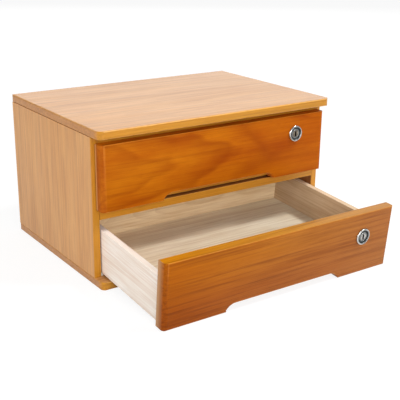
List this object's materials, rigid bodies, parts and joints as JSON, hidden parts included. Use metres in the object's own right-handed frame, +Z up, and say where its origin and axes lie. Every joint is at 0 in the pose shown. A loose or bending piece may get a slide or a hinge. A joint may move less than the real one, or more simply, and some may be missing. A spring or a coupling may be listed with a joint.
{
  "type": "desktop drawer cabinet",
  "caption": "Desktop wooden cabinet with lockable drawers that have finger cut-outs; the lower drawer stands open and tips down on its front glides.",
  "frame": {"origin": "middle of the underside of the bottom panel, on the surface that the cabinet stands on", "axes": "+X to the right as seen from the front, +Y from the drawer fronts to the back panel, +Z up"},
  "size_m": [0.36, 0.3905, 0.2],
  "materials": {
    "stained_wood": "honey-brown stain under satin varnish, open straight grain",
    "raw_wood": "unfinished pale softwood, planed",
    "back_plywood": "thin plywood with a light stain",
    "dowel_wood": "plain beech",
    "nickel": "bright nickel plate, finely brushed",
    "zinc_steel": "zinc-plated steel",
    "nylon": "natural nylon"
  },
  "bodies": {
    "case": {"top_panel": "stained_wood", "bottom_panel": "stained_wood", "left_side": "stained_wood", "right_side": "stained_wood", "divider": "stained_wood", "top_rail": "stained_wood", "back_panel": "back_plywood", "panel_dowels": "dowel_wood", "divider_dowels": "dowel_wood", "rail_dowels": "dowel_wood", "back_brads": "zinc_steel"},
    "upper_glides": {"upper_glides": "nylon"},
    "lower_glides": {"lower_glides": "nylon"},
    "upper_drawer": {"upper_front": "stained_wood", "upper_left_board": "raw_wood", "upper_right_board": "raw_wood", "upper_back_board": "raw_wood", "upper_floor": "raw_wood", "upper_floor_batten": "stained_wood", "upper_front_dowels": "dowel_wood", "upper_box_brads": "zinc_steel", "upper_lock_body": "nickel", "upper_lock_nut": "zinc_steel"},
    "lower_drawer": {"lower_front": "stained_wood", "lower_left_board": "raw_wood", "lower_right_board": "raw_wood", "lower_back_board": "raw_wood", "lower_floor": "raw_wood", "lower_floor_batten": "stained_wood", "lower_front_dowels": "dowel_wood", "lower_box_brads": "zinc_steel", "lower_lock_body": "nickel", "lower_lock_nut": "zinc_steel"},
    "upper_lock_plug": {"upper_lock_plug": "nickel", "upper_lock_cam": "zinc_steel", "upper_cam_screw": "zinc_steel"},
    "lower_lock_plug": {"lower_lock_plug": "nickel", "lower_lock_cam": "zinc_steel", "lower_cam_screw": "zinc_steel"}
  },
  "joints": [
    {"name": "upper_drawer_tip", "type": "hinge", "parent": "case", "child": "upper_glides", "pos_m": [0, -0.101, 0.0952], "axis": [1, 0, 0], "range_deg": [0, 4.8]},
    {"name": "upper_drawer_slide", "type": "slide", "parent": "upper_glides", "child": "upper_drawer", "axis": [0, -1, 0], "range_m": [0, 0.134]},
    {"name": "upper_lock_turn", "type": "hinge", "parent": "upper_drawer", "child": "upper_lock_plug", "pos_m": [0.1225, -0.1223, 0.1567], "axis": [0, 1, 0], "range_deg": [0, 90]},
    {"name": "lower_drawer_tip", "type": "hinge", "parent": "case", "child": "lower_glides", "pos_m": [0, -0.101, 0.0105], "axis": [1, 0, 0], "range_deg": [-4.8, 0]},
    {"name": "lower_drawer_slide", "type": "slide", "parent": "lower_glides", "child": "lower_drawer", "axis": [0, -0.9965, -0.0836], "range_m": [-0.134, 0]},
    {"name": "lower_lock_turn", "type": "hinge", "parent": "lower_drawer", "child": "lower_lock_plug", "pos_m": [0.1225, -0.26031, 0.05182], "axis": [0, 0.9965, 0.0836], "range_deg": [0, 90]}
  ],
  "couplings": [
    {"joint": "upper_drawer_tip", "follows": "upper_drawer_slide", "rad_per_m": 0.62492},
    {"joint": "lower_drawer_tip", "follows": "lower_drawer_slide", "rad_per_m": 0.62492}
  ]
}
